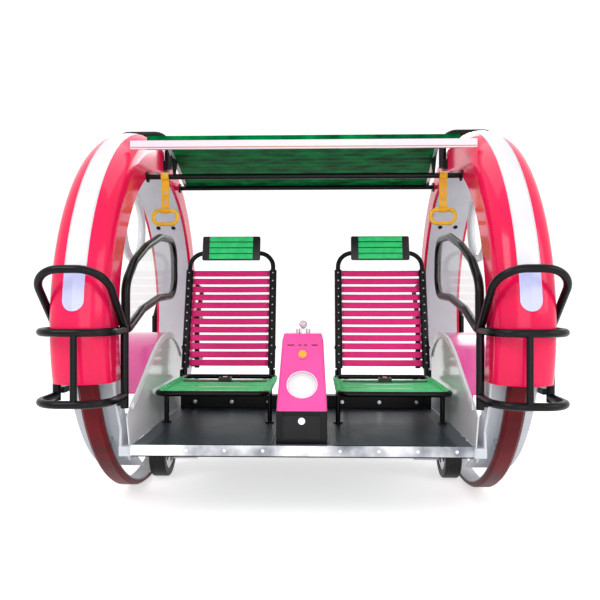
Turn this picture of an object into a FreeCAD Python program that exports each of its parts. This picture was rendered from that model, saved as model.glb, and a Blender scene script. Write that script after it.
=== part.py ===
"""Two-seat rocking ride car: ring wheels on both sides of a cabin with chairs, pedestal and canopy.

Frame: X across (left seat at -X), Y from front to back, Z up. The origin lies on the ground, midway
between the ring wheels and under their centre. Millimetres. The right side mirrors the left.
"""
import FreeCAD, Part
import math
import os

from FreeCAD import Placement, Rotation, Vector

doc = FreeCAD.newDocument("ride_car")

# ---------------------------------------------------------------- driving dimensions
DIMENSIONS = {
    # ring wheels and what guides them
    "wheel_track": 840.0,
    "ring_height": 820.0,
    "tyre_radius": 820.0,
    "tyre_depth": 22.7,
    "rim_depth": 6.0,
    "tyre_width": 80.0,
    "seat_gap": 0.3,
    "hoop_radius": 744.0,
    "hoop_wall": 6.0,
    "hoop_width": 199.0,
    "hoop_gap_angle": 26.0,
    "roller_radius": 22.0,
    "roller_width": 60.0,
    "roller_angle": 48.0,
    "pin_radius": 8.0,
    "pin_clearance": 0.06,
    "bracket_wall": 6.0,
    "bolt_radius": 11.0,
    "bolt_head": 6.0,
    # arch shells
    "arch_width": 230.0,
    "arch_wall": 6.0,
    "arch_shoulder": 845.0,
    "arch_crown": 929.0,
    "arch_cut_height": 600.0,
    "lamp_width": 80.0,
    "lamp_wall": 8.0,
    "sleeve_radius": 20.0,
    "lamp_low": 877.0,
    "lamp_high": 1030.0,
    # side frames and drive wheels
    "frame_plate": 8.9,
    "frame_radius": 810.0,
    "frame_low": 235.0,
    "drive_radius": 150.0,
    "drive_inner": 112.0,
    "drive_width": 80.0,
    "drive_track": 745.0,
    "drive_place": 60.0,
    "axle_radius": 14.0,
    # guards and hoops of tube
    "guard_tube": 16.0,
    "guard_low": 540.0,
    "guard_high": 800.0,
    "guard_front": 981.0,
    "guard_foot": 750.0,
    "guard_inner": 700.0,
    "guard_top": 1030.0,
    "crown_tube": 19.0,
    "crown_clearance": 22.0,
    "halo_place": 890.0,
    "halo_height": 1300.0,
    "halo_radius": 168.0,
    "halo_tube": 20.0,
    # cabin floor
    "deck_height": 330.0,
    "deck_wall": 4.0,
    "spar_stub": 41.0,
    "deck_length": 700.0,
    "frame_tube": 40.0,
    "mat_wall": 4.0,
    "kick_wall": 6.0,
    "kick_height": 42.0,
    "beam_height": 72.0,
    "beam_place": 180.0,
    "beam_depth": 60.0,
    "tray_wall": 5.0,
    "battery_height": 140.0,
    "battery_depth": 300.0,
    "battery_width": 500.0,
    "battery_place": 190.0,
    # pods
    "pod_gap": 7.0,
    "pod_wall": 5.0,
    "pod_top": 755.0,
    # side windows
    "window_tube": 18.0,
    "pane_wall": 6.0,
    # console
    "base_half": 105.0,
    "base_front": 660.0,
    "base_depth": 240.0,
    "base_height": 134.0,
    "panel_wall": 5.0,
    "door_width": 150.0,
    "door_height": 96.0,
    "door_sill": 22.0,
    "lock_radius": 14.0,
    "shell_height": 306.0,
    "dome_radius": 59.0,
    "button_radius": 18.0,
    "stick_place": 350.0,
    "knob_radius": 18.0,
    # chairs
    "chair_edge": 10.0,
    "foot_flange": 10.0,
    "seat_bend": 44.0,
    "chair_half": 247.5,
    "chair_tube": 12.5,
    "seat_front": 430.0,
    "seat_height": 500.0,
    "pivot_place": 100.0,
    "pivot_rise": 20.0,
    "recline": 14.0,
    "back_length": 680.0,
    "band_height": 33.0,
    "band_pitch": 45.0,
    "band_wall": 5.0,
    "belt_width": 48.0,
    "belt_wall": 3.0,
    # canopy
    "canopy_height": 1575.0,
    "canopy_wall": 6.0,
    "canopy_front": 500.0,
    "canopy_back": 380.0,
    "canopy_half_front": 570.0,
    "canopy_half_back": 685.0,
    "fascia_half": 750.0,
    "fascia_height": 37.0,
    "fascia_wall": 12.0,
    "cross_tube": 12.5,
    "cross_place": 330.0,
    "cross_height": 1490.0,
    # grab straps
    "strap_place": 640.0,
    "strap_width": 35.0,
    "strap_wall": 4.0,
    "strap_length": 148.0,
    "handle_half": 65.0,
    "handle_height": 80.0,
    "handle_tube": 9.0,
}


def named(alias):
    """A driving dimension from the list above."""
    return DIMENSIONS[alias]


# sizes that follow: the deck fills the room between the side frames, the crown tubes clear the arches,
# the pods and the chairs keep to the deck's edges, and the console stands on the deck
DIMENSIONS["deck_half"] = (named("wheel_track") - named("arch_width") / 2 + named("arch_wall")
                           - named("spar_stub"))
DIMENSIONS["crown_top"] = named("ring_height") + named("arch_crown") + named("crown_clearance")
DIMENSIONS["pod_inner"] = named("deck_half") + named("pod_gap")
DIMENSIONS["foot_radius"] = named("chair_tube") + named("foot_flange")
DIMENSIONS["chair_place"] = (named("deck_half") - named("chair_edge") - named("foot_radius")
                             - named("chair_half"))
DIMENSIONS["base_top"] = named("deck_height") + named("base_height")
DIMENSIONS["door_low"] = named("deck_height") + named("door_sill")
DIMENSIONS["shell_top"] = named("base_top") + named("shell_height")
DIMENSIONS["pivot_height"] = named("seat_height") + named("pivot_rise")

sheet = doc.addObject("Spreadsheet::Sheet", "sheet")
for row, (alias, amount) in enumerate(DIMENSIONS.items(), start=1):
    sheet.set(f"A{row}", alias)
    sheet.set(f"B{row}", str(amount))
    sheet.setAlias(f"B{row}", alias)
doc.recompute()


def size(alias):
    """A driving dimension, read back from the sheet."""
    return float(sheet.get(alias))


# ---------------------------------------------------------------- ways to make a piece
PIECES = []
SIDES = {"left": -1, "right": 1}


def sheeted(text):
    """An expression whose words are aliases of the sheet."""
    words = sorted(DIMENSIONS, key=len, reverse=True)
    result = ""
    place = 0
    while place < len(text):
        for word in words:
            after = text[place + len(word):place + len(word) + 1]
            if text.startswith(word, place) and not (after.isalnum() or after == "_"):
                result += "sheet." + word
                place += len(word)
                break
        else:
            result += text[place]
            place += 1
    return result


def put(thing, spot):
    """Bind a primitive's corner or centre to three expressions."""
    for letter, text in zip("xyz", spot):
        thing.setExpression(f"Placement.Base.{letter}", sheeted(text))
    return thing


def box(sizes, spot):
    """A box from its low corner; sizes and spot are expressions."""
    thing = doc.addObject("Part::Box", "block")
    for name, text in zip(("Length", "Width", "Height"), sizes):
        thing.setExpression(name, sheeted(text))
    return put(thing, spot)


def rod(radius, length, spot, axis="Z"):
    """A cylinder that starts at spot and runs along axis."""
    thing = doc.addObject("Part::Cylinder", "rod")
    thing.setExpression("Radius", sheeted(radius))
    thing.setExpression("Height", sheeted(length))
    way = {"X": Vector(1, 0, 0), "Y": Vector(0, 1, 0), "Z": Vector(0, 0, 1)}[axis]
    thing.Placement = Placement(Vector(), Rotation(Vector(0, 0, 1), way))
    return put(thing, spot)


def fuse(*things):
    """One solid from several that meet."""
    thing = doc.addObject("Part::MultiFuse", "joined")
    thing.Shapes = list(things)
    thing.Refine = True
    return thing


def cut(base, *tools):
    """The base less each tool in turn."""
    for tool in tools:
        thing = doc.addObject("Part::Cut", "trimmed")
        thing.Base = base
        thing.Tool = tool
        base = thing
    return base


def group(*things):
    """Separate solids that share a node."""
    thing = doc.addObject("Part::Compound", "set")
    thing.Links = list(things)
    return thing


def mirrored(source, normal=Vector(1, 0, 0)):
    """The same piece on the other side of the origin."""
    thing = doc.addObject("Part::Mirroring", "twin")
    thing.Source = source
    thing.Normal = normal
    return thing


def both(source, normal=Vector(1, 0, 0)):
    """A piece and its mirror twin."""
    return group(source, mirrored(source, normal))


def four(source):
    """A piece in all four corners."""
    return both(both(source, Vector(0, 1, 0)))


def formed(shape):
    """A piece whose shape is swept, lofted or bent from the sheet's values."""
    thing = doc.addObject("Part::Feature", "form")
    thing.Shape = shape
    return thing


def keep(node, thing):
    """Name a finished piece; the label names its file."""
    thing.Label = node
    PIECES.append(thing)
    return thing


def outline(points):
    """A closed flat face through points."""
    return Part.Face(Part.makePolygon([Vector(*point) for point in points + points[:1]]))


def turned(points, x_middle):
    """A ring about the wheel axis from a closed profile of (x offset, radius) points."""
    face = outline([(x_middle + x, 0, size("ring_height") + radius) for x, radius in points])
    return face.revolve(Vector(0, 0, size("ring_height")), Vector(1, 0, 0), 360)


def path(points, bend):
    """A wire through points, its corners rounded by arcs of the bend radius."""
    spots = [Vector(*point) for point in points]
    edges = []
    last = spots[0]
    for before, corner, after in zip(spots, spots[1:], spots[2:]):
        inward = (before - corner).normalize()
        onward = (after - corner).normalize()
        half = inward.getAngle(onward) / 2
        run = min(bend / math.tan(half), 0.48 * (before - corner).Length, 0.48 * (after - corner).Length)
        start = corner + inward * run
        end = corner + onward * run
        reach = run * math.tan(half)
        middle_way = (inward + onward).normalize()
        middle = corner + middle_way * (reach / math.sin(half) - reach)
        if (start - last).Length > 0.01:
            edges.append(Part.makeLine(last, start))
        edges.append(Part.Arc(start, middle, end).toShape())
        last = end
    edges.append(Part.makeLine(last, spots[-1]))
    return Part.Wire(edges)


def tube(points, radius, bend):
    """A round bar bent along points."""
    spine = path(points, bend)
    way = Vector(*points[1]) - Vector(*points[0])
    circle = Part.Wire(Part.makeCircle(radius, Vector(*points[0]), way))
    return spine.makePipeShell([circle], True, False)


def loop(points, radius, bend):
    """A closed round bar bent along points; it starts in the middle of the first side."""
    first = Vector(*points[0])
    second = Vector(*points[1])
    start = (first + second) * 0.5
    around = [tuple(start)] + list(points[1:]) + [points[0], tuple(start)]
    return tube(around, radius, bend)


# ---------------------------------------------------------------- ring wheels and hoops
TRACK = size("wheel_track")
RING_Z = size("ring_height")
TYRE_R = size("tyre_radius")
TYRE_IN = TYRE_R - size("tyre_depth")
RIM_OUT = TYRE_IN - size("seat_gap")
RIM_IN = RIM_OUT - size("rim_depth")
HOOP_R = size("hoop_radius")
HOOP_IN = HOOP_R - size("hoop_wall")
ROLLER_R = size("roller_radius")
ROLLER_PATH = RIM_IN - size("seat_gap") - ROLLER_R
GAP_ANGLE = size("hoop_gap_angle")


def on_ring(radius, degrees):
    """Y and Z at a radius of the ring; degrees count from the bottom towards the rear."""
    turn = math.radians(degrees)
    return radius * math.sin(turn), RING_Z - radius * math.cos(turn)


def ring_tyre(x_middle):
    half = size("tyre_width") / 2
    crown = TYRE_R - TYRE_IN
    return turned([(-half, TYRE_IN), (half, TYRE_IN), (half, TYRE_IN + 0.6 * crown), (0.7 * half, TYRE_R),
                   (-0.7 * half, TYRE_R), (-half, TYRE_IN + 0.6 * crown)], x_middle)


def ring_rim(x_middle):
    half = size("tyre_width") / 2
    return turned([(-half, RIM_IN), (half, RIM_IN), (half, RIM_OUT), (-half, RIM_OUT)], x_middle)


for side, sign in SIDES.items():
    keep(f"ring_tyre_{side}", formed(ring_tyre(sign * TRACK)))
    keep(f"ring_rim_{side}", formed(ring_rim(sign * TRACK)))


def sector(shape, low, high):
    """What is left of a ring between two angles from the bottom, by way of the rear."""
    x_low = shape.BoundBox.XMin - 1
    reach = 4 * HOOP_R
    corners = [(x_low, 0, RING_Z)]
    steps = 8
    for step in range(steps + 1):
        y, z = on_ring(reach, low + (high - low) * step / steps)
        corners.append((x_low, y, z))
    wedge = outline(corners).extrude(Vector(shape.BoundBox.XLength + 2, 0, 0))
    return shape.common(wedge)


hoop_half = size("hoop_width") / 2
hoop_section = [(-hoop_half, HOOP_IN), (hoop_half, HOOP_IN), (hoop_half, HOOP_R), (-hoop_half, HOOP_R)]
hoop_ring = turned(hoop_section, TRACK)
hoop = sector(hoop_ring, GAP_ANGLE, 360 - GAP_ANGLE)

# brackets: pairs of ears that stand on the hoop and carry a pin for each lower roller
ROLLER_ANGLES = (size("roller_angle"), -size("roller_angle"))
PAD_ANGLES = (120, 180, 240)
EAR = size("bracket_wall")
ear_inner = size("roller_width") / 2 + size("seat_gap")


def bracket(x_middle, degrees):
    """Two ears with a pin between them, joined to one solid."""
    y, z = on_ring(ROLLER_PATH, degrees)
    shape = Part.makeCylinder(size("pin_radius"), 2 * (ear_inner + EAR),
                              Vector(x_middle - ear_inner - EAR, y, z), Vector(1, 0, 0))
    low_y, low_z = on_ring(HOOP_R + size("seat_gap"), degrees)
    outward = Vector(0, y - low_y, z - low_z).normalize()
    across = Vector(1, 0, 0).cross(outward)
    foot = Vector(0, low_y, low_z) + outward * 1.5
    for ear_x in (x_middle - ear_inner - EAR, x_middle + ear_inner):
        corners = [foot + across * 18, foot - across * 18, Vector(0, y, z) - across * 13 + outward * 13,
                   Vector(0, y, z) + across * 13 + outward * 13]
        ear = outline([(ear_x, corner.y, corner.z) for corner in corners]).extrude(Vector(EAR, 0, 0))
        shape = shape.fuse(ear)
    return shape.removeSplitter()


def roller(x_middle, degrees):
    """A plain roller with a bore that runs on its pin."""
    y, z = on_ring(ROLLER_PATH, degrees)
    half = size("roller_width") / 2
    start = Vector(x_middle - half, y, z)
    body = Part.makeCylinder(ROLLER_R, 2 * half, start, Vector(1, 0, 0))
    bore = Part.makeCylinder(size("pin_radius") + size("pin_clearance"), 2 * half, start, Vector(1, 0, 0))
    return body.cut(bore)


def pad(x_middle, degrees):
    """A nylon block that steadies the rim where the ring is covered."""
    width = size("roller_width") * 0.7
    low = HOOP_R + size("seat_gap")
    high = RIM_IN - size("seat_gap")
    block = turned([(-width / 2, low), (width / 2, low), (width / 2, high), (-width / 2, high)], x_middle)
    return sector(block, degrees - 2, degrees + 2)


for side, sign in SIDES.items():
    for place, degrees in zip(("rear", "front"), ROLLER_ANGLES):
        keep(f"guide_roller_{side}_{place}", formed(roller(sign * TRACK, degrees)))

brackets = [bracket(TRACK, degrees) for degrees in ROLLER_ANGLES]
keep("roller_brackets", both(group(*[formed(shape) for shape in brackets])))
keep("guide_pads", both(group(*[formed(pad(TRACK, degrees)) for degrees in PAD_ANGLES])))
keep("arch_hoops", both(formed(hoop)))


# ---------------------------------------------------------------- arch shells, lamps and side frames
ARCH = size("arch_width") / 2
ARCH_WALL = size("arch_wall")
SHOULDER = size("arch_shoulder")
CROWN = size("arch_crown")
FLANGE_LOW = HOOP_R + size("seat_gap")


def crown_profile(x_middle, inset):
    """Edges of half an ellipse over the shoulders, from +x to -x."""
    centre = Vector(x_middle, 0, RING_Z + SHOULDER)
    wide = ARCH - inset
    high = CROWN - SHOULDER - inset
    if wide > high:
        curve = Part.Ellipse(centre + Vector(wide, 0, 0), centre + Vector(0, 0, high), centre)
        return curve.toShape(0, math.pi)
    curve = Part.Ellipse(centre + Vector(0, 0, high), centre - Vector(wide, 0, 0), centre)
    return curve.toShape(-math.pi / 2, math.pi / 2)


def arch_profile(x_middle):
    """Flanks, rounded crown and inward flanges that seat on the hoop."""
    flange = FLANGE_LOW + ARCH_WALL
    lip = ARCH - 35

    def spot(x, radius):
        return Vector(x_middle + x, 0, RING_Z + radius)

    outer = crown_profile(x_middle, 0)
    inner = crown_profile(x_middle, ARCH_WALL)
    right = [spot(ARCH, SHOULDER), spot(ARCH, FLANGE_LOW), spot(lip, FLANGE_LOW), spot(lip, flange),
             spot(ARCH - ARCH_WALL, flange), spot(ARCH - ARCH_WALL, SHOULDER)]
    left = [spot(-ARCH, SHOULDER), spot(-ARCH, FLANGE_LOW), spot(-lip, FLANGE_LOW), spot(-lip, flange),
            spot(-ARCH + ARCH_WALL, flange), spot(-ARCH + ARCH_WALL, SHOULDER)]
    edges = [outer, inner]
    for run in (right, left):
        edges += [Part.makeLine(start, end) for start, end in zip(run, run[1:])]
    return Part.Face(Part.Wire(Part.__sortEdges__(edges)))


def below(height):
    """Everything under a height."""
    return Part.makeBox(4000, 4000, 3000, Vector(-2000, -2000, height - 3000))


arch_ring = arch_profile(TRACK).revolve(Vector(0, 0, RING_Z), Vector(1, 0, 0), 360)
arch = arch_ring.cut(below(size("arch_cut_height")))

# lamps: lenses bent over the crown at the front and rear ends of the stripe, in a seat of their own
lamp_half = size("lamp_width") / 2
lamp_depth = size("lamp_wall")
lamp_ring = turned([(-lamp_half, CROWN - 14), (lamp_half, CROWN - 14), (lamp_half, CROWN - 1.5),
                    (0, CROWN + lamp_depth), (-lamp_half, CROWN - 1.5)], TRACK)
lamp_centre = size("lamp_low") + lamp_half
lamp_band = Part.makeBox(2 * lamp_half, 900, size("lamp_high") - lamp_centre,
                         Vector(TRACK - lamp_half, -CROWN - 100, lamp_centre))
lamp_band = lamp_band.fuse(Part.makeCylinder(lamp_half, 900, Vector(TRACK, -CROWN - 100, lamp_centre),
                                             Vector(0, 1, 0)))
crown_line = crown_profile(TRACK, -size("seat_gap"))
crown_ends = [vertex.Point for vertex in crown_line.Vertexes]
crown_face = Part.Face(Part.Wire([crown_line, Part.makeLine(*crown_ends)]))
lamp = lamp_ring.common(lamp_band).cut(crown_face.revolve(Vector(0, 0, RING_Z), Vector(1, 0, 0), 360))
lamp = max(lamp.Solids, key=lambda solid: solid.BoundBox.YMin * -1)
keep("arch_shells", both(formed(arch)))
keep("arch_lamps", four(formed(lamp)))

FRAME = size("frame_plate")
plate_x = TRACK - ARCH + ARCH_WALL + size("seat_gap")
plate_ring = turned([(0, HOOP_IN), (FRAME, HOOP_IN), (FRAME, size("frame_radius")), (0, size("frame_radius"))],
                    plate_x)
frame_high = size("arch_cut_height") - size("seat_gap")
plate = plate_ring.common(Part.makeBox(200, 2000, frame_high - size("frame_low"),
                                       Vector(plate_x - 50, 0, size("frame_low"))))
spar_high = size("deck_height") - size("deck_wall")
spar_low = spar_high - size("frame_tube")
spar_in = size("deck_half") + size("seat_gap")
spar = Part.makeBox(plate_x + FRAME - spar_in, 140, spar_high - spar_low,
                    Vector(spar_in, size("deck_length") - 140, spar_low))
web = outline([(plate_x, size("deck_length") - 140, spar_low), (plate_x, size("deck_length"), spar_low),
               (plate_x, size("deck_length") - 20, spar_high + 120),
               (plate_x, size("deck_length") - 80, spar_high + 120)]).extrude(Vector(FRAME, 0, 0))
side_frame = plate.fuse([spar, web]).removeSplitter()
keep("side_frames", four(formed(side_frame)))

# bolts: chrome heads at the hoop's ends, black ones on the inside of the hoop above
BOLT = size("bolt_radius")
end_y, end_z = on_ring(HOOP_IN - size("bolt_head"), GAP_ANGLE + 3)
inward = Vector(0, *on_ring(HOOP_IN, GAP_ANGLE + 3)) - Vector(0, end_y, end_z)
bolt = Part.makeCylinder(BOLT, size("bolt_head"), Vector(TRACK + 45, end_y, end_z), inward)
bolt = bolt.cut(Part.makeCylinder(HOOP_IN + 50, 400, Vector(TRACK - 200, 0, RING_Z), Vector(1, 0, 0)).cut(
    Part.makeCylinder(HOOP_IN, 400, Vector(TRACK - 200, 0, RING_Z), Vector(1, 0, 0))))
end_bolts = [formed(bolt.translated(Vector(step, 0, 0))) for step in (-90, 0)]
keep("hoop_end_bolts", four(group(*end_bolts)))


# ---------------------------------------------------------------- guards, crown tubes and halo rings
TUBE = size("guard_tube")
IN = size("guard_inner")
OUT = TRACK + ARCH + TUBE + 1
FOOT = size("guard_foot")
NOSE = size("guard_front")
LOW = size("guard_low")
HIGH = size("guard_high")
TOP = size("guard_top")
GAP = size("seat_gap")


def guard():
    """Two U rings, a leaning top loop, uprights, a front bar and two bolting lugs."""
    bend = 105
    rail = TUBE - 1
    rings = []
    for low_z, high_z in ((LOW, LOW), (HIGH, HIGH), (HIGH, TOP)):
        rings.append(tube([(IN, -FOOT, low_z), (IN, -NOSE, high_z), (OUT, -NOSE, high_z), (OUT, -FOOT, low_z)],
                          rail, bend))
    uprights = [Part.makeCylinder(TUBE, HIGH - LOW + 70, Vector(IN, -FOOT, LOW - 50)),
                Part.makeCylinder(TUBE, HIGH - LOW + 40, Vector(OUT, -FOOT, LOW - 20))]
    uprights.append(Part.makeCylinder(TUBE * 0.8, HIGH - LOW, Vector(TRACK - 25, -NOSE, LOW)))
    inner_lug = Part.makeBox(plate_x - GAP - IN, 40, 30, Vector(IN, -FOOT - 6, LOW - 40))
    edge_x = TRACK + hoop_half + GAP
    outer_lug = Part.makeBox(OUT - edge_x, 75, 24, Vector(edge_x, -FOOT - 6, LOW + 10))
    return rings[0].fuse(rings[1:] + uprights + [inner_lug, outer_lug]).removeSplitter()


keep("front_guards", both(formed(guard())))
keep("rear_guards", mirrored(PIECES[-1], Vector(0, 1, 0)))

CROWN_TUBE = size("crown_tube")
crown_in = TRACK - ARCH - CROWN_TUBE - 2
crown_out = TRACK + ARCH + CROWN_TUBE + 2
crown_foot = RING_Z + HOOP_R + 30
crown_top = size("crown_top")
crown_bar = tube([(crown_in, 0, crown_foot), (crown_in, 0, crown_top), (crown_out, 0, crown_top),
                  (crown_out, 0, crown_foot)], CROWN_TUBE, 70)
crown_lugs = [Part.makeBox(TRACK - ARCH - GAP - crown_in, 50, 50, Vector(crown_in, -25, crown_foot - 10)),
              Part.makeBox(crown_out - TRACK - ARCH - GAP, 50, 50,
                           Vector(TRACK + ARCH + GAP, -25, crown_foot - 10))]
keep("crown_tubes", both(formed(crown_bar.fuse(crown_lugs).removeSplitter())))

halo = doc.addObject("Part::Torus", "halo")
halo.setExpression("Radius1", sheeted("halo_radius"))
halo.setExpression("Radius2", sheeted("halo_tube"))
halo.Placement = Placement(Vector(), Rotation(Vector(0, 0, 1), Vector(1, 0, 0)))
put(halo, ("halo_place", "0", "halo_height"))
hanger = box(("30", "50", "ring_height + hoop_radius - hoop_wall - 0.8 - halo_height - halo_radius"),
             ("halo_place - 15", "-25", "halo_height + halo_radius"))
keep("halo_rings", both(fuse(halo, hanger)))


# ---------------------------------------------------------------- side windows
PANE_X = TRACK - ARCH - GAP - size("window_tube")
WINDOW_FRONT = TUBE + GAP + size("window_tube") - FOOT
WINDOW_CORNERS = [(WINDOW_FRONT, 790), (WINDOW_FRONT, 985), (-597, 1083), (-415, 1159),
                  (-167, 1226), (130, 1240), (150, 944), (-195, 929), (-473, 878)]
window_points = [(PANE_X, y, z) for y, z in WINDOW_CORNERS]
window_bar = loop(window_points, size("window_tube"), 110)
window_thick = loop(window_points, size("window_tube") + GAP, 110)
pane_half = size("pane_wall") / 2
pane_blank = outline([(PANE_X - pane_half, y, z) for _, y, z in window_points])
pane_blank = pane_blank.extrude(Vector(2 * pane_half, 0, 0)).cut(window_thick)
pane = max(pane_blank.Solids, key=lambda solid: solid.Volume)
keep("window_frames", both(formed(window_bar)))
keep("window_panes", both(formed(pane)))


# ---------------------------------------------------------------- pods beside the chairs
POD_X = size("pod_inner")
POD_WALL = size("pod_wall")
POD_Z = size("pod_top")
pod_low = spar_high + GAP


def pod_curve(x, drop=0.0):
    """The pod's top line from front to rear, lowered by drop."""
    spots = [(-660, POD_Z - 255), (-440, POD_Z - 135), (-230, POD_Z - 32), (-30, POD_Z), (150, POD_Z - 45),
             (250, POD_Z - 120)]
    curve = Part.BSplineCurve()
    curve.interpolate([Vector(x, y, z - drop) for y, z in spots])
    return curve.toShape()


def side_panel(x, width, top_drop, bottom):
    """A plate under the pod's top line, down to another line or a level."""
    top = pod_curve(x, top_drop)
    front = top.Vertexes[0].Point
    rear = top.Vertexes[-1].Point
    if bottom is None:
        under = pod_curve(x, top_drop + 28)
        edges = [top, Part.makeLine(rear, under.Vertexes[-1].Point), under,
                 Part.makeLine(under.Vertexes[0].Point, front)]
    else:
        foot_front = Vector(x, -size("deck_length") + 10, bottom)
        foot_rear = Vector(x, 300, bottom)
        nose = Vector(x, -size("deck_length") - 25, 450)
        edges = [top, Part.makeLine(rear, foot_rear), Part.makeLine(foot_rear, foot_front),
                 Part.makeLine(foot_front, nose), Part.makeLine(nose, front)]
    return Part.Face(Part.Wire(Part.__sortEdges__(edges))).extrude(Vector(width, 0, 0))


def pod_skin():
    """The pink top skin: the top line carried outwards, with a curved rear apron."""
    start = POD_X + POD_WALL + GAP
    reach = TRACK + hoop_half - 10 - start
    solid = side_panel(start, reach, 0, 360)
    hollow = side_panel(start - 1, reach + 2, POD_WALL, 200)
    inside = Part.makeBox(reach, 2000, 2000, Vector(start, -600, -500))
    wheel_room = Part.makeCylinder(HOOP_IN - 4, reach, Vector(start, 0, RING_Z), Vector(1, 0, 0))
    return max(solid.cut(hollow).common(inside).common(wheel_room).Solids, key=lambda part: part.Volume)


keep("pod_cheeks", both(formed(side_panel(POD_X, POD_WALL, 0, pod_low))))
keep("pod_lips", both(formed(side_panel(POD_X - 7 - GAP, 7, 0, None))))
keep("pod_covers", both(formed(pod_skin())))


# ---------------------------------------------------------------- platform
deck = box(("2 * deck_half", "2 * deck_length", "deck_wall"),
           ("-deck_half", "-deck_length", "deck_height - deck_wall"))
keep("deck_plate", deck)

# the frame's rails and cross members meet face to face, and the battery tray's walls hang under them
CROSS_COUNT = 4
rail_low = "deck_height - deck_wall - frame_tube - seat_gap"
members = [box(("frame_tube", "2 * deck_length", "frame_tube"), ("-deck_half", "-deck_length", rail_low)),
           box(("frame_tube", "2 * deck_length", "frame_tube"),
               ("deck_half - frame_tube", "-deck_length", rail_low))]
for member in range(CROSS_COUNT):
    pitch = f"(2 * deck_length - frame_tube) / {CROSS_COUNT - 1}"
    members.append(box(("2 * deck_half - 2 * frame_tube", "frame_tube", "frame_tube"),
                       ("-deck_half + frame_tube", f"-deck_length + {member} * {pitch}", rail_low)))

mat = box(("deck_half - base_half - 2 * frame_tube", "deck_length + beam_place - 20", "mat_wall"),
          ("base_half + 12", "-deck_length + 8", "deck_height + seat_gap"))
keep("floor_mats", both(mat))
keep("kick_plate", box(("2 * deck_half", "kick_wall", "kick_height"),
                       ("-deck_half", "-deck_length - kick_wall - seat_gap", "deck_height + 4 - kick_height")))
keep("seat_beam", box(("2 * deck_half - 20", "beam_depth", "beam_height"),
                      ("-deck_half + 10", "beam_place", "deck_height + seat_gap")))

frame_under = size("deck_height") - size("deck_wall") - size("frame_tube") - GAP
TRAY = size("tray_wall")
battery_low = frame_under - GAP - size("battery_height") - 6
half_wide = size("battery_width") + 30
tray_long = size("battery_depth") + 2 * GAP + 2 * TRAY
tray_front = size("battery_place") - tray_long / 2
tray_high = frame_under - battery_low
members.append(formed(Part.makeBox(2 * half_wide, tray_long, TRAY,
                                   Vector(-half_wide, tray_front, battery_low - TRAY))))
for front in (tray_front, tray_front + tray_long - TRAY):
    members.append(formed(Part.makeBox(2 * half_wide, TRAY, tray_high, Vector(-half_wide, front, battery_low))))
for side in (-half_wide, half_wide - TRAY):
    members.append(formed(Part.makeBox(TRAY, tray_long - 2 * TRAY, tray_high,
                                       Vector(side, tray_front + TRAY, battery_low))))
keep("platform_frame", group(*members))
keep("batteries", both(box(("battery_width - 20", "battery_depth", "battery_height"),
                           ("20", "battery_place - battery_depth / 2", str(battery_low + GAP)))))

# drive wheels: a tyre on a drilled hub, on the shaft of a motor under the floor
DRIVE_R = size("drive_radius")
DRIVE_Y = size("drive_place")
AXLE = size("axle_radius")


def along_x(radius, low, high, y, z):
    """A cylinder across the car between two X places."""
    return Part.makeCylinder(radius, high - low, Vector(low, y, z), Vector(1, 0, 0))


def drive_hub(x_middle):
    half = size("drive_width") / 2 - 4
    low, high = x_middle - half, x_middle + half
    hub = along_x(size("drive_inner") - GAP, low, high, DRIVE_Y, DRIVE_R)
    hub = hub.cut(along_x(AXLE + size("pin_clearance"), low - 1, high + 1, DRIVE_Y, DRIVE_R))
    for step in range(5):
        turn = math.radians(72 * step)
        spot = (DRIVE_Y + 68 * math.cos(turn), DRIVE_R + 68 * math.sin(turn))
        hub = hub.cut(along_x(20, low - 1, high + 1, *spot))
    return hub


def drive_tyre(x_middle):
    half = size("drive_width") / 2
    block = along_x(DRIVE_R, x_middle - half, x_middle + half, DRIVE_Y, DRIVE_R)
    rim_edges = [edge for edge in block.Edges if abs(edge.Length - 2 * math.pi * DRIVE_R) < 0.01]
    block = block.makeFillet(8, rim_edges)
    return block.cut(along_x(size("drive_inner"), x_middle - half - 1, x_middle + half + 1, DRIVE_Y, DRIVE_R))


for side, sign in SIDES.items():
    keep(f"drive_tyre_{side}", formed(drive_tyre(sign * size("drive_track"))))
    keep(f"drive_hub_{side}", formed(drive_hub(sign * size("drive_track"))))

hub_in = size("drive_track") - size("drive_width") / 2 + 4
hub_out = size("drive_track") + size("drive_width") / 2 - 4
motor = along_x(62, hub_in - 145, hub_in - 12, DRIVE_Y, DRIVE_R)
motor = motor.fuse([along_x(AXLE, hub_in - 12, hub_out + 4, DRIVE_Y, DRIVE_R),
                    along_x(AXLE + 8, hub_in - 12, hub_in - GAP, DRIVE_Y, DRIVE_R),
                    Part.makeBox(90, 100, frame_under - GAP - DRIVE_R,
                                 Vector(hub_in - 130, DRIVE_Y - 50, DRIVE_R))])
keep("drive_motors", both(formed(motor.removeSplitter())))


# ---------------------------------------------------------------- console
BASE = size("base_half")
FRONT = size("base_front")
base_block = box(("2 * base_half", "base_depth", "base_top - deck_height - seat_gap"),
                 ("-base_half", "-base_front", "deck_height + seat_gap"))
base_room = box(("2 * base_half - 2 * panel_wall", "base_depth - 2 * panel_wall",
                 "base_top - deck_height - seat_gap - 2 * panel_wall"),
                ("-base_half + panel_wall", "-base_front + panel_wall", "deck_height + seat_gap + panel_wall"))
doorway = box(("door_width - 16", "3 * panel_wall", "door_height - 16"),
              ("-door_width / 2 + 8", "-base_front - panel_wall", "door_low + 8"))
base_shell = cut(base_block, base_room, doorway)

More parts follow.
